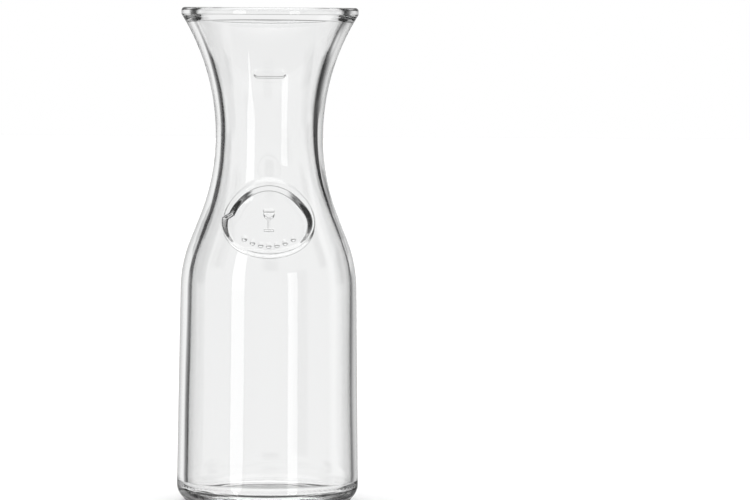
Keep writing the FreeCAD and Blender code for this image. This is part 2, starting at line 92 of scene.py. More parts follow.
EMBLEM_HEIGHT = 155.7 * MM
EMBLEM_TALL = 11.6 * MM
EMBLEM_RELIEF = 0.95 * MM
BOWL_RADIUS = 3.1 * MM
BOWL_SIDE = 2.2 * MM
STEM_WIDTH = 1.3 * MM
FOOT_WIDTH = 5.4 * MM
FOOT_TALL = 1.2 * MM
EMBLEM_SLOPE = 0.5 * MM
EMBLEM_SKIRT = 0.3 * EMBLEM_SLOPE

BEAD_COUNT = 7
BEAD_RADIUS = 1.6 * MM
BEAD_RELIEF = 0.9 * MM
BEAD_DOME = 0.75
BEAD_ARC_WIDTH = 13.0 * MM
BEAD_ARC_RISE = 3.5 * MM
BEAD_ARC_HEIGHT = 142.4 * MM

LINE_HEIGHT = 234.6 * MM
LINE_HALF_WIDTH = 8.9 * MM
LINE_HALF_TALL = 2.5 * MM
LINE_RELIEF = 0.5 * MM
LINE_SLOPE = 1.0 * MM

GRIP_COUNT = 72
GRIP_ROWS = 2
GRIP_LOW_ANGLE = 21.0
GRIP_ROW_STEP = 14.0
GRIP_BUMP = 1.0 * MM
GRIP_RELIEF = 0.35 * MM

# The unevenness of the blown inside wall, in millimetres: how far the cavity stands to the right
# and back low down and at the waist, how much thicker the neck's wall is, and slow ripples, each as
# size, waves round the axis, radians of twist per metre of height, and start in radians.
CORE_RIGHT = 0.8
CORE_BACK = 0.25
CORE_RIGHT_WAIST = -0.15
THROAT_WALL = 0.6
THROAT_WALL_RIGHT = 0.5
RIPPLES = [(0.09, 2, 14, 0.8), (0.05, 3, -31, 2.1), (0.03, 5, 55, 0.0)]

# The heights between which each of these comes and goes.
CORE_LOW_FADE = (155 * MM, 195 * MM)
CORE_HIGH_FADE = (225 * MM, 262 * MM)
THROAT_START = (185 * MM, 225 * MM)
THROAT_END = (238 * MM, 265 * MM)
RIPPLE_START = (FLOOR_HEIGHT, FLOOR_HEIGHT + 20 * MM)
RIPPLE_END = (245 * MM, 262 * MM)

# Distances between rings of the mesh, from the underside over the outside and the lip to the floor.
DOME_PITCH = 3.0 * MM
BEARING_PITCH = 2.0 * MM
CORNER_PITCH = 0.8 * MM
FINE_PITCH = 0.35 * MM
BODY_PITCH = 4.0 * MM
RELIEF_PITCH = 0.4 * MM
PLAIN_PITCH = 2.4 * MM
EDGE_PITCH = 0.15 * MM
BORE_PITCH = 0.5 * MM
INSIDE_PITCH = 3.0 * MM
FLOOR_PITCH = 2.2 * MM
# How far below the bore its close rings go on, and the radius of the last ring on the floor.
BORE_BLEND = 3.0 * MM
FLOOR_MIDDLE = 3.0 * MM
# How far past the seal, the capacity line and the grip rows the finer mesh reaches, as shares of
# the half height or of a row's step, and the angle from the front that holds the first two.
SEAL_MARGIN = 1.08
LINE_MARGIN = 2.0
GRIP_MARGIN = 0.6
FRONT_ANGLE = 60


def smooth(value, low, high):
    """0 below low, 1 above high, and an S-curve between them."""
    share = min(1.0, max(0.0, (value - low) / (high - low)))
    return share * share * (3 - 2 * share)


def soft_ramp(value, low, high):
    """0 below low, 1 above high, and nearly straight between them."""
    share = min(1.0, max(0.0, (value - low) / (high - low)))
    return 0.5 * share + 0.5 * smooth(value, low, high)


def polar(centre, radius, degrees):
    """The point at an angle round a centre, and the direction out of the centre."""
    angle = math.radians(degrees)
    out = (math.cos(angle), math.sin(angle))
    return (centre[0] + radius * out[0], centre[1] + radius * out[1]), out


# ---------------------------------------------------------------- outline of the glass

def shoulder_centre():
    """Centre of the shoulder curve, which touches the shoulder cone and the body wall."""
    cone = math.radians(SHOULDER_ANGLE)
    taper = math.radians(BODY_TAPER)
    neck = (WAIST_RADIUS + NECK_ARC, WAIST_HEIGHT)
    heel = (BODY_RADIUS - HEEL_ARC * math.cos(taper), HEEL_ARC)
    cone_side = neck[0] * math.cos(cone) + neck[1] * math.sin(cone) - NECK_ARC - SHOULDER_ARC
    body_side = heel[0] * math.cos(taper) + heel[1] * math.sin(taper) + HEEL_ARC - SHOULDER_ARC
    turn = math.sin(cone - taper)
    across = (body_side * math.sin(cone) - cone_side * math.sin(taper)) / turn
    up = (cone_side * math.cos(taper) - body_side * math.cos(cone)) / turn
    return (across, up)


HEEL_CENTRE = (BODY_RADIUS - HEEL_ARC * math.cos(math.radians(BODY_TAPER)), HEEL_ARC)
SHOULDER_CENTRE = shoulder_centre()
NECK_CENTRE = (WAIST_RADIUS + NECK_ARC, WAIST_HEIGHT)
FLARE_CENTRE = (WAIST_RADIUS + FLARE_ARC, WAIST_HEIGHT)
FLARE_INSIDE_CENTRE = (WAIST_RADIUS - WALL + FLARE_INSIDE_ARC, WAIST_HEIGHT)


def even_turns(count):
    """Even angles round the axis, in degrees from the front."""
    return [-180.0 + 360.0 * step / count for step in range(count)]


def front_turns(half_angle, fine, coarse):
    """Angles round the axis from the front, close together within half_angle of it."""
    close = int(round(2 * half_angle / fine))
    wide = int(round((360 - 2 * half_angle) / coarse))
    turns = [-half_angle + 2 * half_angle * step / close for step in range(close + 1)]
    gap = (360 - 2 * half_angle) / wide
    return turns + [half_angle + gap * step for step in range(1, wide)]


PLAIN_TURNS = even_turns(180)
GRIP_TURNS = even_turns(504)
SEAL_TURNS = front_turns(45.0, 0.45, 2.0)
LINE_TURNS = front_turns(20.0, 0.6, 2.0)


class Ring:
    """One ring of the surface: its place on the outline, its way out of the glass, its turns."""

    def __init__(self, place, out, turns, side):
        self.place = place
        self.out = out
        self.turns = turns
        self.side = side


def arc_rings(centre, radius, first, last, pitch, side, turns=PLAIN_TURNS, hollow=False):
    """Rings along an arc, not counting its first end. hollow is for a centre outside the glass."""
    length = abs(math.radians(last - first)) * radius
    count = max(1, int(round(length / pitch)))
    rings = []
    for step in range(1, count + 1):
        place, out = polar(centre, radius, first + (last - first) * step / count)
        if hollow:
            out = (-out[0], -out[1])
        rings.append(Ring(place, out, turns, side))
    return rings


def line_rings(first, last, out, pitch, side, turns=PLAIN_TURNS):
    """Rings along a straight stretch, not counting its first end."""
    length = math.hypot(last[0] - first[0], last[1] - first[1])
    count = max(1, int(round(length / pitch)))
    rings = []
    for step in range(1, count + 1):
        share = step / count
        place = (first[0] + (last[0] - first[0]) * share, first[1] + (last[1] - first[1]) * share)
        rings.append(Ring(place, out, turns, side))
    return rings


def foot_rings():
    """Underside, bearing ring and heel."""
    dome = (BEARING_RADIUS ** 2 + PUSH_UP ** 2) / (2 * PUSH_UP)
    dome_centre = (0.0, PUSH_UP - dome)
    edge = math.degrees(math.atan2(dome - PUSH_UP, BEARING_RADIUS))
    rings = arc_rings(dome_centre, dome, 90, edge, DOME_PITCH, "under")
    for ring in rings:
        ring.out = (-ring.out[0], -ring.out[1])
    rings += line_rings((BEARING_RADIUS, 0), (HEEL_CENTRE[0], 0), (0, -1), BEARING_PITCH, "under")
    low = GRIP_LOW_ANGLE - 90 - GRIP_ROW_STEP * GRIP_MARGIN
    high = GRIP_LOW_ANGLE - 90 + GRIP_ROW_STEP * (GRIP_ROWS - 1 + GRIP_MARGIN)
    rings += arc_rings(HEEL_CENTRE, HEEL_ARC, -90, low, CORNER_PITCH, "outside")
    rings += arc_rings(HEEL_CENTRE, HEEL_ARC, low, high, FINE_PITCH, "outside", GRIP_TURNS)
    rings += arc_rings(HEEL_CENTRE, HEEL_ARC, high, BODY_TAPER, CORNER_PITCH, "outside")
    return rings


def turns_at(height):
    """How finely the outside is divided round the axis at a height."""
    if abs(height - SEAL_HEIGHT) < SEAL_HALF_TALL * SEAL_MARGIN:
        return SEAL_TURNS
    if abs(height - LINE_HEIGHT) < LINE_HALF_TALL * LINE_MARGIN:
        return LINE_TURNS
    return PLAIN_TURNS


def graded_arc(centre, radius, first, last, hollow):
    """An outside arc, with close rings where the seal or the capacity line stands."""
    rings = []
    probe = arc_rings(centre, radius, first, last, RELIEF_PITCH, "outside", hollow=hollow)
    kept_height = None
    for ring in probe:
        ring.turns = turns_at(ring.place[1])
        pitch = PLAIN_PITCH if ring.turns is PLAIN_TURNS else RELIEF_PITCH
        if kept_height is None or ring is probe[-1] or ring.place[1] - kept_height > pitch * 0.9:
            rings.append(ring)
            kept_height = ring.place[1]
    return rings


def outside_rings():
    """Body wall, shoulder, neck and flare."""
    start, out = polar(HEEL_CENTRE, HEEL_ARC, BODY_TAPER)
    finish, out = polar(SHOULDER_CENTRE, SHOULDER_ARC, BODY_TAPER)
    rings = line_rings(start, finish, out, BODY_PITCH, "outside")
    rings += graded_arc(SHOULDER_CENTRE, SHOULDER_ARC, BODY_TAPER, SHOULDER_ANGLE, False)
    start, out = polar(SHOULDER_CENTRE, SHOULDER_ARC, SHOULDER_ANGLE)
    finish, inward = polar(NECK_CENTRE, NECK_ARC, 180 + SHOULDER_ANGLE)
    rings += line_rings(start, finish, out, RELIEF_PITCH, "outside", SEAL_TURNS)
    rings += graded_arc(NECK_CENTRE, NECK_ARC, 180 + SHOULDER_ANGLE, 180, True)
    rings += graded_arc(FLARE_CENTRE, FLARE_ARC, 180, flare_end(), True)
    return rings


def lip_under_centre():
    """Centre of the small arc between the flare and the lip's upright outer face."""
    across = RIM_RADIUS - LIP_LOWER_EDGE
    reach = FLARE_ARC + LIP_LOWER_EDGE
    return (across, WAIST_HEIGHT + math.sqrt(reach ** 2 - (FLARE_CENTRE[0] - across) ** 2))


def flare_end():
    """Angle on the flare's arc where the lip begins."""
    under = lip_under_centre()
    return math.degrees(math.atan2(under[1] - FLARE_CENTRE[1], under[0] - FLARE_CENTRE[0]))


def bore_foot():
    """Height where the lip's upright inner face meets the flare."""
    return WAIST_HEIGHT + math.sqrt(FLARE_INSIDE_ARC ** 2 - (FLARE_INSIDE_CENTRE[0] - BORE_RADIUS) ** 2)


def lip_rings():
    """The thick lip, from its lower outside edge over the top to its inner face."""
    under = lip_under_centre()
    outer = (RIM_RADIUS - LIP_OUTER_EDGE, HEIGHT - LIP_OUTER_EDGE)
    inner = (BORE_RADIUS + LIP_INNER_EDGE, HEIGHT - LIP_INNER_EDGE)
    rings = arc_rings(under, LIP_LOWER_EDGE, flare_end() - 180, 0, EDGE_PITCH, "lip")
    rings += line_rings((RIM_RADIUS, under[1]), (RIM_RADIUS, outer[1]), (1, 0), FINE_PITCH, "lip")
    rings += arc_rings(outer, LIP_OUTER_EDGE, 0, 90, FINE_PITCH, "lip")
    rings += line_rings((outer[0], HEIGHT), (inner[0], HEIGHT), (0, 1), CORNER_PITCH, "lip")
    rings += arc_rings(inner, LIP_INNER_EDGE, 90, 180, FINE_PITCH, "lip")
    rings += line_rings((BORE_RADIUS, inner[1]), (BORE_RADIUS, bore_foot()), (-1, 0), BORE_PITCH, "lip")
    return rings


def inside_rings():
    """The cavity wall, parallel to the outside below the waist, then its corner and floor."""
    bore_angle = 180 - math.degrees(math.asin((bore_foot() - WAIST_HEIGHT) / FLARE_INSIDE_ARC))
    taper = math.radians(BODY_TAPER)
    corner_up = FLOOR_HEIGHT + CAVITY_CORNER
    corner_side = SHOULDER_ARC - WALL - CAVITY_CORNER
    corner_across = corner_side - (corner_up - SHOULDER_CENTRE[1]) * math.sin(taper)
    corner = (SHOULDER_CENTRE[0] + corner_across / math.cos(taper), corner_up)
    near_lip = bore_angle + math.degrees(BORE_BLEND / FLARE_INSIDE_ARC)
    rings = arc_rings(FLARE_INSIDE_CENTRE, FLARE_INSIDE_ARC, bore_angle, near_lip, BORE_PITCH,
                      "inside", hollow=True)
    rings += arc_rings(FLARE_INSIDE_CENTRE, FLARE_INSIDE_ARC, near_lip, 180, INSIDE_PITCH,
                       "inside", hollow=True)
    rings += arc_rings(NECK_CENTRE, NECK_ARC + WALL, 180, 180 + SHOULDER_ANGLE, INSIDE_PITCH,
                       "inside", hollow=True)
    start, out = polar(NECK_CENTRE, NECK_ARC + WALL, 180 + SHOULDER_ANGLE)
    finish, out = polar(SHOULDER_CENTRE, SHOULDER_ARC - WALL, SHOULDER_ANGLE)
    rings += line_rings(start, finish, out, INSIDE_PITCH, "inside")
    rings += arc_rings(SHOULDER_CENTRE, SHOULDER_ARC - WALL, SHOULDER_ANGLE, BODY_TAPER,
                       INSIDE_PITCH, "inside")
    start, out = polar(SHOULDER_CENTRE, SHOULDER_ARC - WALL, BODY_TAPER)
    finish, out = polar(corner, CAVITY_CORNER, BODY_TAPER)
    rings += line_rings(start, finish, out, INSIDE_PITCH, "inside")
    rings += arc_rings(corner, CAVITY_CORNER, BODY_TAPER, -90, CORNER_PITCH, "inside")
    rings += line_rings((corner[0], FLOOR_HEIGHT), (FLOOR_MIDDLE, FLOOR_HEIGHT), (0, 1), FLOOR_PITCH,
                        "inside")
    return rings


# ---------------------------------------------------------------- relief on the outside

def oval(across, up, half_width, half_tall, middle):
    """1 on the edge of an egg-shaped oval, less inside it and more outside."""
    rise = (up - middle) / half_tall
    width = half_width * max(0.2, 1 - SEAL_EGG * rise)
    return math.hypot(across / width, rise)


def box_distance(across, up, half_width, low, high):
    """Distance outside a rectangle, negative inside it."""
    side = abs(across) - half_width
    end = max(low - up, up - high)
    outside = math.hypot(max(side, 0.0), max(end, 0.0))
    return outside + min(max(side, end), 0.0)


def emblem_distance(across, up):
    """Distance outside a stemmed glass, negative inside it."""
    top = EMBLEM_HEIGHT + EMBLEM_TALL / 2
    bottom = EMBLEM_HEIGHT - EMBLEM_TALL / 2
    bowl_up = top - BOWL_SIDE
    upper = box_distance(across, up, BOWL_RADIUS, bowl_up, top)
    lower = math.hypot(across, up - bowl_up) - BOWL_RADIUS
    if up > bowl_up:
        lower = upper
    stem = box_distance(across, up, STEM_WIDTH / 2, bottom, bowl_up)
    foot = box_distance(across, up, FOOT_WIDTH / 2, bottom, bottom + FOOT_TALL)
    return min(upper, lower, stem, foot)


def bead_relief(across, up):
    """Height of the arc of domed beads."""
    best = 0.0
    for number in range(BEAD_COUNT):
        place = 2 * number / (BEAD_COUNT - 1) - 1
        middle = BEAD_ARC_HEIGHT + BEAD_ARC_RISE * place ** 2
        distance = math.hypot(across - place * BEAD_ARC_WIDTH, up - middle) / BEAD_RADIUS
        if distance < 1:
            best = max(best, BEAD_RELIEF * (1 - distance ** 2) ** BEAD_DOME)
    return best


def border_drift(across, up):
    """How much further out the border's crest stands low down at the two sides."""
    left = smooth(-across, *DRIFT_SIDES) * (1 - smooth(up, *DRIFT_LEFT_TOP))
    right = smooth(across, *DRIFT_SIDES) * (1 - smooth(up, *DRIFT_RIGHT_TOP))
    return BORDER_DRIFT_LEFT * left + BORDER_DRIFT_RIGHT * right


def border_relief(share, foot):
    """Height of the border; share runs from its inner edge to its outer one, foot is its drift."""
    crest = foot + BORDER_SLOPE
    climb = soft_ramp(share, foot, crest)
    brow = min(max(crest, BORDER_BROW), BORDER_BROW_LIMIT)
    droop = BORDER_DROOP * smooth(share, crest - BORDER_DROOP_LEAD, brow)
    fall = (1 - droop) * (1 - soft_ramp(share, brow, 1.0))
    return min(PAD_RELIEF + (BORDER_RELIEF - PAD_RELIEF) * climb, BORDER_RELIEF * fall)


def seal_relief(across, up):
    """Height of the seal over the shoulder: border, field, emblem and beads."""
    outer = oval(across, up, SEAL_HALF_WIDTH, SEAL_HALF_TALL, SEAL_HEIGHT)
    if outer >= 1:
        return 0.0
    inner = oval(across, up, FIELD_HALF_WIDTH, FIELD_HALF_TALL, FIELD_HEIGHT)
    if inner > 1:
        return border_relief((inner - 1) / (inner - outer), border_drift(across, up))
    emblem = 1 - smooth(emblem_distance(across, up), -EMBLEM_SLOPE, EMBLEM_SKIRT)
    return PAD_RELIEF + EMBLEM_RELIEF * emblem + bead_relief(across, up)


def line_relief(across, up):
    """Height of the capacity line on the neck."""
    middle = LINE_HALF_WIDTH - LINE_HALF_TALL
    distance = math.hypot(max(abs(across) - middle, 0.0), up - LINE_HEIGHT) - LINE_HALF_TALL
    return LINE_RELIEF * (1 - smooth(distance, -LINE_SLOPE, 0.0))


def grip_relief(turn, place):
    """Height of the rows of low bumps round the heel."""
    round_heel = math.degrees(math.atan2(place[0] - HEEL_CENTRE[0], HEEL_CENTRE[1] - place[1]))
    best = 0.0
    for row in range(GRIP_ROWS):
        along = math.radians(round_heel - GRIP_LOW_ANGLE - row * GRIP_ROW_STEP) * HEEL_ARC
        step = 360.0 / GRIP_COUNT
        shifted = (turn - row * step / 2) / step
        around = math.radians((shifted - round(shifted)) * step) * place[0]
        distance = math.hypot(along, around) / GRIP_BUMP
        if distance < 1:
            best = max(best, GRIP_RELIEF * (1 - distance ** 2))
    return best


def relief(ring, turn):
    """How far the outside stands off the plain outline at an angle round the axis."""
    across, up = ring.place[0] * math.sin(math.radians(turn)), ring.place[1]
    if ring.turns is GRIP_TURNS:
        return grip_relief(turn, ring.place)
    if ring.turns is SEAL_TURNS and abs(turn) < FRONT_ANGLE:
        return seal_relief(across, up)
    if ring.turns is LINE_TURNS and abs(turn) < FRONT_ANGLE:
        return line_relief(across, up)
    return 0.0


def core_shift(up):
    """How far the blown cavity wanders sideways from the outside's axis."""
    low = 1 - smooth(up, *CORE_LOW_FADE)
    high = smooth(up, *CORE_HIGH_FADE)
    waist = (1 - low) * (1 - high)
    return Vector((CORE_RIGHT * low + CORE_RIGHT_WAIST * waist, CORE_BACK * low, 0)) * MM


def ripple(turn, up):
    """Slow unevenness of the blown inside wall."""
    angle = math.radians(turn)
    wave = sum(size * math.sin(waves * angle + twist * up + start)
               for size, waves, twist, start in RIPPLES)
    fade = smooth(up, *RIPPLE_START) * (1 - smooth(up, *RIPPLE_END))
    return wave * MM * fade


def throat_wall(turn, up):
    """How much thicker the wall is from the waist to the lip, more so on the right."""
    height = smooth(up, *THROAT_START) * (1 - smooth(up, *THROAT_END))
    right = 0.5 + 0.5 * math.sin(math.radians(turn))
    return (THROAT_WALL + THROAT_WALL_RIGHT * right) * MM * height


def surface_point(ring, turn):
    """A ring's point at an angle round the axis, with its relief or its unevenness."""
    radius, up = ring.place
    lift = relief(ring, turn) if ring.side == "outside" else 0.0
    shift = Vector((0, 0, 0))
    if ring.side == "inside":
        lift = ripple(turn, up) - throat_wall(turn, up)
        shift = core_shift(up)
    radius += lift * ring.out[0]
    angle = math.radians(turn)
    return Vector((radius * math.sin(angle), -radius * math.cos(angle), up + lift * ring.out[1])) + shift


# ---------------------------------------------------------------- the mesh

def stitch(faces, lower, upper):
    """Join two rings of vertices, each a list of (turn, vertex) in order round the axis."""
    if len(lower) == len(upper):
        for place in range(len(lower)):
            after = (place + 1) % len(lower)
            faces.append((lower[place][1], lower[after][1], upper[after][1], upper[place][1]))
        return
    below = [*lower, (lower[0][0] + 360, lower[0][1])]
    above = [*upper, (upper[0][0] + 360, upper[0][1])]
    near, far = 0, 0
    while near < len(lower) or far < len(upper):
        lower_next = near < len(lower)
        if lower_next and far < len(upper):
            lower_next = below[near + 1][0] <= above[far + 1][0]
        if lower_next:
            faces.append((below[near][1], below[near + 1][1], above[far][1]))
            near += 1
        else:
            faces.append((below[near][1], above[far + 1][1], above[far][1]))
            far += 1


def ordered_turns(turns):
    """The same angles from -180 degrees upwards."""
    return sorted((turn + 180) % 360 - 180 for turn in turns)


def vessel_surface():
    """Points and faces from the middle of the underside, over the lip, to the middle of the floor."""
    points = [Vector((0, 0, PUSH_UP))]
    faces = []
    previous = None
    for ring in foot_rings() + outside_rings() + lip_rings() + inside_rings():
        loop = []
        for turn in ordered_turns(ring.turns):
            loop.append((turn, len(points)))
            points.append(surface_point(ring, turn))
        if previous is None:
            for place in range(len(loop)):
                faces.append((0, loop[(place + 1) % len(loop)][1], loop[place][1]))
        else:
            stitch(faces, previous, loop)
        previous = loop
    centre = len(points)
    points.append(Vector((0, 0, FLOOR_HEIGHT)) + core_shift(FLOOR_HEIGHT))
    for place in range(len(previous)):
        faces.append((previous[place][1], previous[(place + 1) % len(previous)][1], centre))
    return points, faces


def build_vessel():
    """The whole decanter as one closed skin of glass."""
    points, faces = vessel_surface()
    mesh = bpy.data.meshes.new("decanter_glass")
    mesh.from_pydata([tuple(point) for point in points], [], faces)
    mesh.validate()
    mesh.polygons.foreach_set("use_smooth", [True] * len(mesh.polygons))
    mesh.update()
    vessel = bpy.data.objects.new("decanter_glass", mesh)
    bpy.context.scene.collection.objects.link(vessel)
    return vessel


# ---------------------------------------------------------------- materials

DRAW_MARK_DEPTH = 0.02 * MM
FOOT_WEAR = 0.6 * MM
FOOT_ROUGHNESS = 0.25
LIP_WEAR = 1.0 * MM
LIP_ROUGHNESS = 0.06
TINTS = [(0.974, 0.977, 0.976, 1), (0.983, 0.984, 0.984, 1)]
# Noises as (scale, detail, stretch upwards).
TINT_NOISE = (9.0, 1.0, 2.0)
SCUFF_NOISE = (900.0, 4.0, 1.0)
DRAW_NOISE = (160.0, 2.0, 14.0)
SWELL_NOISE = (26.0, 1.0, 3.0)


def new_material(name, kind="ShaderNodeBsdfPrincipled"):
    """A material with one shader node, and that node."""
    material = bpy.data.materials.new(name)
    material.use_nodes = True
    nodes = material.node_tree.nodes
    nodes.clear()
    output = nodes.new("ShaderNodeOutputMaterial")
    shader = nodes.new(kind)
    material.node_tree.links.new(shader.outputs[0], output.inputs["Surface"])
    return material, shader


def add_node(tree, kind, **settings):
    """A new node with its properties set."""
    node = tree.nodes.new(kind)
    for name, value in settings.items():
        setattr(node, name, value)
    return node


def link_noise(tree, place, scale, detail, stretch):
    """Noise over the object's own coordinates, drawn out upwards by stretch."""
    mapping = add_node(tree, "ShaderNodeMapping")
    mapping.inputs["Scale"].default_value = (1, 1, 1 / stretch)
    tree.links.new(place, mapping.inputs["Vector"])
    noise = add_node(tree, "ShaderNodeTexNoise")
    noise.inputs["Scale"].default_value = scale
    noise.inputs["Detail"].default_value = detail
    tree.links.new(mapping.outputs[0], noise.inputs["Vector"])
    return noise.outputs["Fac"]


def remap(tree, value, low, high, first, last):
    """Turn a value between low and high into one between first and last."""
    change = add_node(tree, "ShaderNodeMapRange")
    for name, number in (("From Min", low), ("From Max", high), ("To Min", first), ("To Max", last)):
        change.inputs[name].default_value = number
    tree.links.new(value, change.inputs["Value"])
    return change.outputs[0]


def math_node(tree, operation, first, second):
    """The result of an operation on two values, each a socket or a number."""
    node = add_node(tree, "ShaderNodeMath", operation=operation)
    for socket, value in zip(node.inputs, (first, second)):
        if isinstance(value, float):
            socket.default_value = value
        else:
            tree.links.new(value, socket)
    return node.outputs[0]


def glass_material():
    """Clear glass: faint upright draw marks, a worn foot and rim, and a whisper of tint."""
    material, shader = new_material("clear_glass")
    tree = material.node_tree
    place = add_node(tree, "ShaderNodeTexCoord").outputs["Object"]
    parts = add_node(tree, "ShaderNodeSeparateXYZ")
    tree.links.new(place, parts.inputs[0])
    up = parts.outputs["Z"]

    tint = add_node(tree, "ShaderNodeMix", data_type="RGBA")
    tree.links.new(link_noise(tree, place, *TINT_NOISE), tint.inputs["Factor"])
    tint.inputs[6].default_value = TINTS[0]
    tint.inputs[7].default_value = TINTS[1]
    tree.links.new(tint.outputs[2], shader.inputs["Base Color"])

    scuffs = remap(tree, link_noise(tree, place, *SCUFF_NOISE), 0.52, 0.7, 0.0, 1.0)
    foot = remap(tree, up, 0.0, FOOT_WEAR, FOOT_ROUGHNESS, 0.0)
    lip = remap(tree, up, HEIGHT - LIP_WEAR, HEIGHT, 0.0, LIP_ROUGHNESS)
    worn = math_node(tree, "MAXIMUM", foot, lip)
    tree.links.new(math_node(tree, "MULTIPLY", scuffs, worn), shader.inputs["Roughness"])

    draw = link_noise(tree, place, *DRAW_NOISE)
    swell = link_noise(tree, place, *SWELL_NOISE)
    bump = add_node(tree, "ShaderNodeBump")
    bump.inputs["Strength"].default_value = 1.0
    bump.inputs["Distance"].default_value = DRAW_MARK_DEPTH
    tree.links.new(math_node(tree, "ADD", draw, swell), bump.inputs["Height"])
    tree.links.new(bump.outputs[0], shader.inputs["Normal"])

    shader.inputs["IOR"].default_value = 1.52
    shader.inputs["Transmission Weight"].default_value = 1.0
    return material


def floor_material():
    """Satin white acrylic sheet."""
    material, shader = new_material("white_acrylic")
    shader.inputs["Base Color"].default_value = (0.9, 0.9, 0.9, 1)
    shader.inputs["Roughness"].default_value = 0.6
    shader.inputs["IOR"].default_value = 1.49
    return material


def light_material(name, strength):
    material, glow = new_material(name, "ShaderNodeEmission")
    glow.inputs["Strength"].default_value = strength
    return material


# ---------------------------------------------------------------- studio

# What the glass refracts, as (degrees to the right of straight behind it, brightness): a lit
# screen behind, with dark flags beside it and on the diagonals behind the other views.
SCREEN = [
    (-180, 0.92), (-148, 0.92), (-142, 0.3), (-126, 0.3), (-120, 0.92),
    (-64, 0.92), (-58, 0.03), (-46, 0.02), (-43, 0.05), (-40, 0.14), (-37, 0.3), (-34, 0.65),
    (-31, 1.0), (-14, 0.94), (19, 0.94), (26, 0.66), (31, 0.5), (34, 0.28), (38, 0.18), (42, 0.05),
    (46, 0.02), (56, 0.03), (62, 0.92), (180, 0.92),
]
# Further down, narrow dark strips stand on the left, on the right and on the camera's side, and at
# first there is still a flag on the back right. Steeper than that it is lit all round.
UNDER_SCREEN = [
    (-180, 0.05), (-170, 0.05), (-165, 0.94), (-100, 0.94), (-96, 0.05), (-84, 0.05), (-80, 0.94),
    (31, 0.94), (38, 0.2), (44, 0.03), (56, 0.03), (61, 0.94), (77, 0.94), (81, 0.05), (98, 0.05),
    (103, 0.94), (169, 0.94), (173, 0.05), (180, 0.05),
]
LOW_SCREEN = [
    (-180, 0.05), (-170, 0.05), (-165, 0.94), (-100, 0.94), (-96, 0.05), (-84, 0.05), (-80, 0.94),
    (77, 0.94), (81, 0.05), (98, 0.05), (103, 0.94), (169, 0.94), (173, 0.05), (180, 0.05),
]
# Above the level of the base the two flags are wide. The lit middle is narrowest at the crest.
HIGH_SCREEN = [
    (-180, 0.9), (-79, 0.9), (-75, 0.03), (-37, 0.03), (-32, 0.94), (33, 0.94), (37, 0.03),
    (76, 0.03), (80, 0.9), (180, 0.9),
]
CREST_SCREEN = [
    (-180, 0.9), (-79, 0.9), (-75, 0.02), (-21, 0.02), (-16, 0.94), (16, 0.94), (20, 0.02),
    (76, 0.02), (80, 0.9), (180, 0.9),
]
TOP_SCREEN = [
    (-180, 0.9), (-79, 0.9), (-75, 0.02), (-32, 0.02), (-24, 0.94), (24, 0.94), (32, 0.02),
    (76, 0.02), (80, 0.9), (180, 0.9),
]
STEEP_SCREEN = 0.88
# The screens from the lowest up, with the two elevations between which each takes over.
SCREENS = [
    ((-42, -32), LOW_SCREEN), ((-25, -21), UNDER_SCREEN), ((-18, -14), SCREEN),
    ((-0.5, 2.5), HIGH_SCREEN), ((8, 11), CREST_SCREEN), ((17, 20), TOP_SCREEN),
]
# A dark rail across the screen, as tilts in degrees, and how much of it there is by turn.
RAIL = [(-90, 1.0), (4.4, 1.0), (5.2, 0.1), (9.5, 0.1), (13, 1.0), (90, 1.0)]
RAIL_REACH = [
    (-180, 0), (-34, 0), (-30, 0.5), (-21, 0.5), (-16, 1), (16, 1), (21, 0.5), (30, 0.5),
    (34, 0), (180, 0),
]
# What it mirrors: a dim room with a tall light on each side.
ROOM = [
    (-180, 0.3), (-90, 0.3), (-76, 0.3), (-68, 0.03), (-49, 0.05), (-44, 0.6), (-36, 0.6),
    (-30, 0.35), (-23, 0.15), (-14, 0.3), (14, 0.3), (20, 0.05), (55, 0.05), (66, 0.15),
    (73, 1.2), (88, 1.2), (96, 0.3), (180, 0.3),
]
# A soft light overhead, and the elevations between which it takes over from screen and room.
TOP_LIGHT = 2.4
SCREEN_CEILING = (42, 62)
ROOM_CEILING = (52, 68)
# What lights the floor.
FILL_LIGHT = 1.45

# The two tall softboxes in front, as corners (degrees right of the camera's side, degrees up).
LIGHT_REACH = 1.2
LIGHT_CENTRE = 140 * MM
LEFT_LIGHT = [(-41, -38), (-40, -38), (-37, -18), (-31, -9), (-31, 30), (-48, 30), (-48, -9), (-43, -18)]
RIGHT_LIGHT = [(25, -27), (37, -27), (38, 14), (25, 14)]
LEFT_STRENGTH = 3.5
RIGHT_STRENGTH = 3.0
FLOOR_HALF = 7.0

CAMERA_LENS = 220.0
CAMERA_DISTANCE = 2.5
CAMERA_DOWN = 3.02
CAMERA_ROLL = 0.39
CAMERA_RIGHT = 1.309


def add_stage_mesh(name, corners, material):
    """One polygon that belongs to the stage and not to the object."""
    mesh = bpy.data.meshes.new(name)
    mesh.from_pydata(corners, [], [tuple(range(len(corners)))])
    mesh.materials.append(material)
    thing = bpy.data.objects.new(name, mesh)
    bpy.context.scene.collection.objects.link(thing)
    return thing


def make_floor():
    """A plain floor that catches the contact shadow and stays out of the glass."""
    sides = [(-1, -1), (1, -1), (1, 1), (-1, 1)]
    corners = [(FLOOR_HALF * across, FLOOR_HALF * back, 0) for across, back in sides]
    floor = add_stage_mesh("floor", corners, floor_material())
    floor.visible_transmission = False
    floor.visible_glossy = False


def make_softbox(name, outline, strength):
    """A soft light on an upright cylinder round the vessel, hidden from camera and refraction."""
    corners = []
    for turn, tilt in outline:
        angle = math.radians(turn)
        corners.append((LIGHT_REACH * math.sin(angle), -LIGHT_REACH * math.cos(angle),
                        LIGHT_CENTRE + LIGHT_REACH * math.tan(math.radians(tilt))))
    box = add_stage_mesh(name, corners, light_material(name + "_light", strength))
    box.visible_camera = False
    box.visible_transmission = False


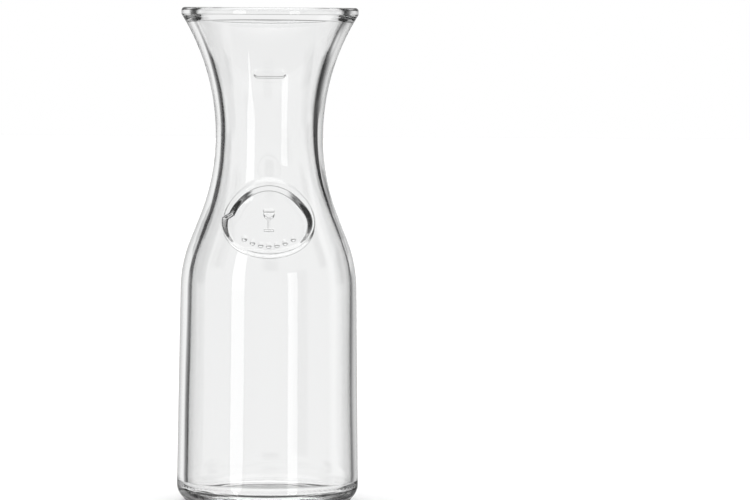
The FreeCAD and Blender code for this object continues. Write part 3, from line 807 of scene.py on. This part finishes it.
def fill_ramp(ramp, stops):
    """Set a ramp's stops, as (position, brightness)."""
    while len(ramp.elements) < len(stops):
        ramp.elements.new(0.5)
    for element, (position, level) in zip(ramp.elements, stops):
        element.position = position
        element.color = (level, level, level, 1)


def angle_ramp(tree, angle, whole, stops):
    """Brightness by an angle in radians, for stops in degrees; whole is the angle's full range."""
    share = add_node(tree, "ShaderNodeMath", operation="MULTIPLY_ADD")
    share.inputs[1].default_value = 1 / math.radians(whole)
    share.inputs[2].default_value = 0.5
    tree.links.new(angle, share.inputs[0])
    ramp = add_node(tree, "ShaderNodeValToRGB")
    fill_ramp(ramp.color_ramp, [(degrees / whole + 0.5, level) for degrees, level in stops])
    tree.links.new(share.outputs[0], ramp.inputs[0])
    return ramp.outputs["Color"]


def height_step(tree, up, low, high):
    """0 for directions below one elevation in degrees, 1 above another."""
    step = add_node(tree, "ShaderNodeMapRange", interpolation_type="SMOOTHSTEP")
    step.inputs["From Min"].default_value = math.sin(math.radians(low))
    step.inputs["From Max"].default_value = math.sin(math.radians(high))
    tree.links.new(up, step.inputs["Value"])
    return step.outputs[0]


def mix(tree, factor, first, second):
    """Blend two brightnesses, each a socket or a number."""
    blend = add_node(tree, "ShaderNodeMix", data_type="RGBA")
    tree.links.new(factor, blend.inputs["Factor"])
    for socket, value in ((blend.inputs[6], first), (blend.inputs[7], second)):
        if isinstance(value, float):
            socket.default_value = (value, value, value, 1)
        else:
            tree.links.new(value, socket)
    return blend.outputs[2]


def direction(tree):
    """The turn and tilt of a direction, in radians, and its upward part."""
    place = add_node(tree, "ShaderNodeTexCoord")
    parts = add_node(tree, "ShaderNodeSeparateXYZ")
    tree.links.new(place.outputs["Generated"], parts.inputs[0])
    turn = math_node(tree, "ARCTAN2", parts.outputs["X"], parts.outputs["Y"])
    tilt = add_node(tree, "ShaderNodeMath", operation="ARCSINE")
    tree.links.new(parts.outputs["Z"], tilt.inputs[0])
    return turn, tilt.outputs[0], parts.outputs["Z"]


def screen_light(tree, turn, tilt, up):
    """What the glass refracts."""
    screen = STEEP_SCREEN
    for (low, high), stops in SCREENS:
        screen = mix(tree, height_step(tree, up, low, high), screen, angle_ramp(tree, turn, 360, stops))
    reach = angle_ramp(tree, turn, 360, RAIL_REACH)
    rail = mix(tree, reach, 1.0, angle_ramp(tree, tilt, 180, RAIL))
    screen = mix(tree, rail, 0.0, screen)
    return mix(tree, height_step(tree, up, *SCREEN_CEILING), screen, TOP_LIGHT)


def room_light(tree, turn, up):
    """What the glass mirrors."""
    room = angle_ramp(tree, turn, 360, ROOM)
    return mix(tree, height_step(tree, up, *ROOM_CEILING), room, TOP_LIGHT)


def make_world():
    """White where it is seen directly, and a screen or a room where glass refracts or mirrors it."""
    world = bpy.data.worlds.new("studio")
    world.use_nodes = True
    bpy.context.scene.world = world
    tree = world.node_tree
    tree.nodes.clear()
    output = add_node(tree, "ShaderNodeOutputWorld")
    background = add_node(tree, "ShaderNodeBackground")
    tree.links.new(background.outputs[0], output.inputs["Surface"])
    turn, tilt, up = direction(tree)
    ray = add_node(tree, "ShaderNodeLightPath")
    # A refracted ray also counts as glossy, so the screen is laid over the room.
    lit = mix(tree, ray.outputs["Is Glossy Ray"], FILL_LIGHT, room_light(tree, turn, up))
    lit = mix(tree, ray.outputs["Is Transmission Ray"], lit, screen_light(tree, turn, tilt, up))
    lit = mix(tree, ray.outputs["Is Camera Ray"], lit, 1.0)
    tree.links.new(lit, background.inputs["Color"])


def make_camera():
    """Level with the rim, looking slightly down and to the right of the decanter."""
    camera = bpy.data.cameras.new("camera")
    camera.lens = CAMERA_LENS
    camera.sensor_width = 36.0
    camera.clip_end = 30.0
    thing = bpy.data.objects.new("camera", camera)
    thing.location = (0, -CAMERA_DISTANCE, HEIGHT)
    thing.rotation_euler = (math.radians(90 - CAMERA_DOWN), math.radians(-CAMERA_ROLL),
                            math.radians(-CAMERA_RIGHT))
    bpy.context.scene.collection.objects.link(thing)
    bpy.context.scene.camera = thing


def main():
    make_camera()
    vessel = build_vessel()
    vessel.data.materials.append(glass_material())
    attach(vessel, "root")
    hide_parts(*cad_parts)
    make_floor()
    make_softbox("left_softbox", LEFT_LIGHT, LEFT_STRENGTH)
    make_softbox("right_softbox", RIGHT_LIGHT, RIGHT_STRENGTH)
    make_world()
    scene = bpy.context.scene
    scene.view_settings.view_transform = "Standard"
    scene.cycles.max_bounces = 32
    scene.cycles.transmission_bounces = 32
    scene.cycles.glossy_bounces = 16


main()
